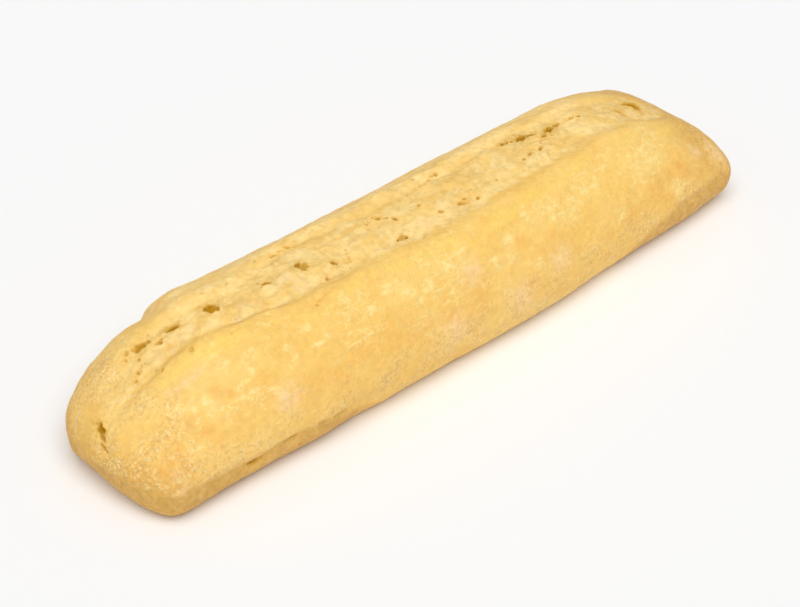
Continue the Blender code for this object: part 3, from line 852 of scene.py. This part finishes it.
def crust_piece(low, high):
    """The whole loaf in full detail, with the masks that its material reads."""
    ball = plain_loaf()
    surface = BVHTree.FromBMesh(ball)
    hollows = all_hollows(surface)
    refine(ball, hollows)
    ball.normal_update()
    points = np.array([vert.co for vert in ball.verts])
    normals = np.array([vert.normal for vert in ball.verts])
    height, floor = relief(points)
    rim = rim_mask(points)
    floor = np.maximum(floor, TORN_RIM * rim * (1 - smooth_step(*TORN_RIM_ENDS, points[:, 1])))
    creased = creases(points, floor)
    depth, dark, stain = hollow_relief(points, hollows)
    strip, line = lip_masks(points)
    height += grain(points, floor) - CREASES_DEPTH * creased - depth
    height *= smooth_step(0.0, BASE_CALM, points[:, 2])
    masks = {
        "torn": floor,
        "creased": creased,
        "hollow": dark,
        "stained": stain,
        "floury": flour_mask(points, floor),
        "pale_patch": side_patches(points, floor, *PALE_PATCHES),
        "warm_patch": side_patches(points, floor, *WARM_PATCHES),
        "rim": rim,
        "end": end_bake_and_shade_mask(points),
        "strip": strip,
        "lip_shadow_line": line,
        "dull_and_shaded": dull_and_shaded_mask(points),
    }
    for name, marks in MARKS.items():
        masks[name] = marked(points, surface, marks)
    points += normals * height[:, None]
    points[:, 2] = np.maximum(points[:, 2], 0.0)
    points = fitted(points, low, high)
    for vert, point in zip(ball.verts, points):
        vert.co = point
    mesh = bpy.data.meshes.new("baguette_crust")
    ball.to_mesh(mesh)
    ball.free()
    mesh.shade_smooth()
    for name, values in masks.items():
        kept = mesh.attributes.new(name, "FLOAT", "POINT")
        kept.data.foreach_set("value", values.astype(np.float32))
    piece = bpy.data.objects.new("baguette_crust", mesh)
    bpy.context.scene.collection.objects.link(piece)
    return piece


def tone(red, green, blue):
    """A colour given as it looks on a screen, from 0 to 255, in the linear values that shaders read."""
    shares = [value / 255 for value in (red, green, blue)]
    return (*[s / 12.92 if s <= 0.04045 else ((s + 0.055) / 1.055) ** 2.4 for s in shares], 1.0)


class Nodes:
    """A short way to add shader nodes and link them."""

    def __init__(self, tree):
        self.tree = tree

    def add(self, kind, inputs=(), **settings):
        """A new node with its settings, and its inputs set to values or linked to outputs."""
        made = self.tree.nodes.new(kind)
        for name, value in settings.items():
            setattr(made, name, value)
        for name, value in dict(inputs).items():
            self.feed(made.inputs[name], value)
        return made

    def feed(self, socket, value):
        """Link an output to an input, or set the input's own value."""
        if isinstance(value, bpy.types.NodeSocket):
            self.tree.links.new(value, socket)
        else:
            socket.default_value = value

    def mask(self, name):
        """One of the masks kept on the mesh."""
        return self.add("ShaderNodeAttribute", attribute_name=name).outputs["Fac"]

    def noise(self, place, name):
        """One of the smooth noises."""
        size, detail, distortion, roughness, along, reach, push = NOISES[name]
        if along > 1:
            place = self.stretched(place, along)
        if reach:
            place = self.warped(place, reach, push)
        inputs = {"Vector": place, "Scale": 1 / size, "Detail": detail, "Distortion": distortion,
                  "Roughness": roughness}
        return self.add("ShaderNodeTexNoise", inputs).outputs["Fac"]

    def ramp(self, name, value):
        """A value spread smoothly as one of the ramps says."""
        low, high, start, end = (*RAMPS[name], 0.0, 1.0)[:4]
        inputs = {"Value": value, "From Min": low, "From Max": high, "To Min": start, "To Max": end}
        return self.add("ShaderNodeMapRange", inputs, interpolation_type="SMOOTHSTEP").outputs["Result"]

    def broken(self, name, mask, noise):
        """A ramp of a mask whose edge a noise breaks up."""
        return self.ramp(name, self.total(mask, self.product(noise, BREAKS[name])))

    def math(self, operation, *values):
        """Arithmetic on values."""
        made = self.add("ShaderNodeMath", operation=operation)
        for index, value in enumerate(values):
            self.feed(made.inputs[index], value)
        return made.outputs[0]

    def product(self, *values):
        """Several values multiplied."""
        result = values[0]
        for value in values[1:]:
            result = self.math("MULTIPLY", result, value)
        return result

    def total(self, *values):
        """Several values added."""
        result = values[0]
        for value in values[1:]:
            result = self.math("ADD", result, value)
        return result

    def mix(self, share, first, second, blend="MIX"):
        """A mix of two colours."""
        made = self.add("ShaderNodeMix", data_type="RGBA", blend_type=blend)
        for index, value in ((0, share), (6, first), (7, second)):
            self.feed(made.inputs[index], value)
        return made.outputs[2]

    def shade(self, share, name):
        """A shade between a pair of colours."""
        first, second = SHADES[name]
        return self.mix(share, tone(*first), tone(*second))

    def coat(self, colour, name, *shares):
        """A colour under one of the coats, which lies as thick as the shares say."""
        thick, over = COATS[name]
        return self.mix(self.product(*shares, thick), colour, tone(*over))

    def stretched(self, place, along):
        """A place squeezed along X, which draws what is made from it out along the loaf."""
        made = self.add("ShaderNodeVectorMath", operation="MULTIPLY")
        self.feed(made.inputs[0], place)
        made.inputs[1].default_value = (1 / along, 1.0, 1.0)
        return made.outputs[0]

    def warped(self, place, reach, size):
        """A place pushed about by noise, by up to a reach in metres."""
        push = self.add("ShaderNodeTexNoise", {"Vector": place, "Scale": 1 / size, "Detail": 2.0})
        centred = self.add("ShaderNodeVectorMath", operation="SUBTRACT")
        self.feed(centred.inputs[0], push.outputs["Color"])
        centred.inputs[1].default_value = (0.5, 0.5, 0.5)
        scaled = self.add("ShaderNodeVectorMath", operation="SCALE")
        self.feed(scaled.inputs[0], centred.outputs[0])
        scaled.inputs["Scale"].default_value = 2 * reach
        moved = self.add("ShaderNodeVectorMath", operation="ADD")
        self.feed(moved.inputs[0], place)
        self.feed(moved.inputs[1], scaled.outputs[0])
        return moved.outputs[0]

    def spots(self, place, name):
        """Scattered spots, and a value from 0 to 1 for each."""
        size, share, whole, gone, reach, push = SPOTS[name]
        place = self.warped(place, reach, push)
        cell = self.add("ShaderNodeTexVoronoi", {"Vector": place, "Scale": 1 / size})
        draw = self.add("ShaderNodeSeparateColor", {"Color": cell.outputs["Color"]})
        chosen = self.math("LESS_THAN", draw.outputs["Red"], share)
        inputs = {"Value": cell.outputs["Distance"], "From Min": whole, "From Max": gone, "To Min": 1.0,
                  "To Max": 0.0}
        spot = self.add("ShaderNodeMapRange", inputs, interpolation_type="SMOOTHSTEP").outputs["Result"]
        return self.product(chosen, spot), draw.outputs["Green"]


def crust_material():
    """Baked crust: golden with paler clouds, torn and pale in the slash, dark in the pores."""
    material = bpy.data.materials.new("crust")
    material.use_nodes = True
    shader = material.node_tree.nodes["Principled BSDF"]
    nodes = Nodes(material.node_tree)
    place = nodes.add("ShaderNodeTexCoord").outputs["Object"]
    colour, bump = crust_layers(nodes, place)
    nodes.feed(shader.inputs["Base Color"], colour)
    relief_node = nodes.add("ShaderNodeBump", {"Height": bump, "Strength": 1.0, "Distance": 1.0})
    nodes.feed(shader.inputs["Normal"], relief_node.outputs["Normal"])
    nodes.feed(shader.inputs["Roughness"], nodes.ramp("roughness", nodes.noise(place, "sheen")))
    nodes.feed(shader.inputs["Specular IOR Level"], nodes.ramp("gloss", nodes.mask("hollow")))
    return material


def crust_layers(nodes, place):
    """The crust's colour and fine relief, laid on from the plain gold up."""
    mask = nodes.mask
    cloud = nodes.ramp("cloud", nodes.noise(place, "cloud"))
    patch = nodes.ramp("patch", nodes.noise(place, "patch"))
    fine = nodes.noise(place, "fine")
    dapple = nodes.noise(place, "dapple")

    colour = nodes.coat(nodes.shade(cloud, "gold"), "rim", mask("rim"))
    colour = nodes.coat(colour, "strip", nodes.broken("strip", mask("strip"), patch))
    baked = nodes.ramp("baked", patch)
    warm = nodes.math("MAXIMUM", mask("warm_patch"), mask("warm"))
    colour = nodes.coat(colour, "warm", warm, baked)
    # The ends laid darker: partly more baked crust, partly painted shade.
    colour = nodes.coat(colour, "end", mask("end"), baked)

    pale = nodes.math("MAXIMUM", mask("pale_patch"), nodes.product(mask("pale"), PALE_MARKS))
    colour = nodes.coat(colour, "pale", pale)
    flecks = nodes.broken("flecks", nodes.noise(place, "fleck"), pale)
    flecks = nodes.product(flecks, nodes.ramp("unbroken", mask("torn")))
    colour = nodes.coat(colour, "flecks", flecks)

    middle = nodes.math("SUBTRACT", nodes.noise(place, "wave"), 0.5)
    streak = nodes.ramp("streak", nodes.math("ABSOLUTE", middle))
    streak = nodes.product(streak, nodes.ramp("streak_pale", pale), nodes.ramp("streak_patch", patch))
    colour = nodes.coat(colour, "streak", streak)
    colour = nodes.coat(colour, "pinkish", mask("pink"), nodes.ramp("pinkish", dapple))
    # Brown marks are browner crust, but the one beside the flap is painted shadow.
    colour = nodes.coat(colour, "browned", mask("brown"), nodes.ramp("browned", dapple))

    dusty = nodes.math("MAXIMUM", mask("floury"), mask("dusted"))
    dusty = nodes.product(dusty, nodes.math("SUBTRACT", 1.0, mask("bare")))
    floury = nodes.broken("floury", dusty, patch)
    colour = nodes.coat(colour, "bare", mask("bare"))
    colour = nodes.coat(colour, "powder", floury, nodes.ramp("powder", mask("end")))
    colour = nodes.coat(colour, "gaps", nodes.ramp("gaps", fine), floury)
    grain, grain_tone = nodes.spots(place, "grain")
    clump = nodes.product(nodes.ramp("clump", nodes.noise(place, "clump")), CLUMPS)
    grains = nodes.product(nodes.math("MAXIMUM", grain, clump), floury)
    colour = nodes.mix(nodes.product(grains, GRAINS_COVER), colour, nodes.shade(grain_tone, "grains"))

    ragged = nodes.product(nodes.math("SUBTRACT", patch, 0.5), TORN_BREAK)
    torn = nodes.ramp("torn", nodes.total(mask("torn"), ragged))
    torn_colour = nodes.shade(nodes.ramp("mottle", nodes.noise(place, "mottle")), "torn")
    torn_colour = nodes.coat(torn_colour, "shadow", nodes.ramp("shadow", dapple))
    torn_colour = nodes.coat(torn_colour, "crumb", nodes.broken("crumb", mask("crumb"), patch))
    # The creases between the torn lumps laid darker: painted shade.
    torn_colour = nodes.coat(torn_colour, "creased", mask("creased"))
    colour = nodes.mix(torn, colour, torn_colour)
    # A painted shadow line along the lip.
    colour = nodes.coat(colour, "lip_shadow_line", mask("lip_shadow_line"))
    # The under edge laid darker: partly duller crust, partly painted shade below the waist.
    colour = nodes.mix(nodes.product(mask("dull_and_shaded"), DULL_COVER), colour, nodes.shade(patch, "dull_and_shaded"))

    speck, speck_tone = nodes.spots(place, "speck")
    speck = nodes.product(speck, nodes.ramp("specks", torn))
    colour = nodes.mix(nodes.product(speck, SPECKS_COVER), colour, nodes.shade(speck_tone, "specks"))
    colour = nodes.coat(colour, "stained", nodes.broken("stained", mask("stained"), patch))
    # Pore insides laid darker the deeper they are: partly browner crust, partly painted shade.
    deep = nodes.broken("deep", mask("hollow"), patch)
    colour = nodes.mix(nodes.broken("hollow", mask("hollow"), dapple), colour, nodes.shade(deep, "hollow"))

    sandy = nodes.ramp("sandy", nodes.math("MAXIMUM", mask("floury"), mask("dull_and_shaded")))
    shade = nodes.total(
        1.0,
        nodes.product(nodes.ramp("fine_shade", fine), sandy),
        nodes.ramp("dapple_shade", dapple),
        nodes.ramp("patch_shade", patch),
        # The rim's share brightens the far side: painted light.
        nodes.product(mask("rim"), RIM_PAINTED_LIGHT),
    )
    shades = nodes.add("ShaderNodeCombineColor", {"Red": shade, "Green": shade, "Blue": shade})
    colour = nodes.mix(1.0, colour, shades.outputs["Color"], blend="MULTIPLY")

    bump = nodes.total(
        nodes.product(fine, sandy, FINE_BUMP),
        nodes.product(grains, GRAIN_BUMP),
        nodes.product(flecks, FLECK_BUMP),
        nodes.product(speck, SPECK_BUMP),
        nodes.product(patch, PATCH_BUMP),
    )
    return colour, bump


def plain_material(name, colour, roughness):
    """One even finish, for what isn't part of the loaf."""
    material = bpy.data.materials.new(name)
    material.use_nodes = True
    shader = material.node_tree.nodes["Principled BSDF"]
    shader.inputs["Base Color"].default_value = colour
    shader.inputs["Roughness"].default_value = roughness
    return material


def pale_floor():
    """A wide pale floor, just under the loaf."""
    sheet = bmesh.new()
    bmesh.ops.create_grid(sheet, x_segments=1, y_segments=1, size=FLOOR_SIZE)
    bmesh.ops.translate(sheet, verts=sheet.verts, vec=Vector((0, 0, -FLOOR_DROP)))
    mesh = bpy.data.meshes.new("pale_floor")
    sheet.to_mesh(mesh)
    sheet.free()
    mesh.materials.append(plain_material("pale_floor", FLOOR_COLOUR, FLOOR_ROUGHNESS))
    floor = bpy.data.objects.new("pale_floor", mesh)
    bpy.context.scene.collection.objects.link(floor)


def soft_light():
    """Pale light from all round, and a broad lamp over the near side."""
    world = bpy.data.worlds.new("pale_room")
    world.use_nodes = True
    background = world.node_tree.nodes["Background"]
    background.inputs["Color"].default_value = WORLD_COLOUR
    background.inputs["Strength"].default_value = WORLD_STRENGTH
    bpy.context.scene.world = world
    light = bpy.data.lights.new("key_lamp", "SUN")
    light.angle = KEY_ANGLE
    light.energy = KEY_STRENGTH
    lamp = bpy.data.objects.new("key_lamp", light)
    lamp.rotation_mode = "QUATERNION"
    lamp.rotation_quaternion = (-KEY_FROM).to_track_quat("-Z", "Y")
    bpy.context.scene.collection.objects.link(lamp)


def photo_camera():
    """The camera at the photo's angle."""
    lens = bpy.data.cameras.new("photo_camera")
    lens.lens = CAMERA_LENS
    lens.sensor_width = SENSOR_WIDTH
    back = Vector((
        math.sin(CAMERA_AZIMUTH) * math.cos(CAMERA_ELEVATION),
        -math.cos(CAMERA_AZIMUTH) * math.cos(CAMERA_ELEVATION),
        math.sin(CAMERA_ELEVATION),
    ))
    right = Vector((math.cos(CAMERA_AZIMUTH), math.sin(CAMERA_AZIMUTH), 0.0))
    turned = Matrix((right, back.cross(right), back)).transposed().to_4x4()
    turned.translation = CAMERA_TARGET + back * CAMERA_DISTANCE
    camera = bpy.data.objects.new("photo_camera", lens)
    camera.matrix_world = turned
    bpy.context.scene.collection.objects.link(camera)
    bpy.context.scene.camera = camera


crust = crust_piece(*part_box("baguette"))
crust.data.materials.append(crust_material())
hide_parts("baguette")
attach(crust, "root")
pale_floor()
soft_light()
photo_camera()
bpy.context.scene.view_settings.view_transform = "Standard"
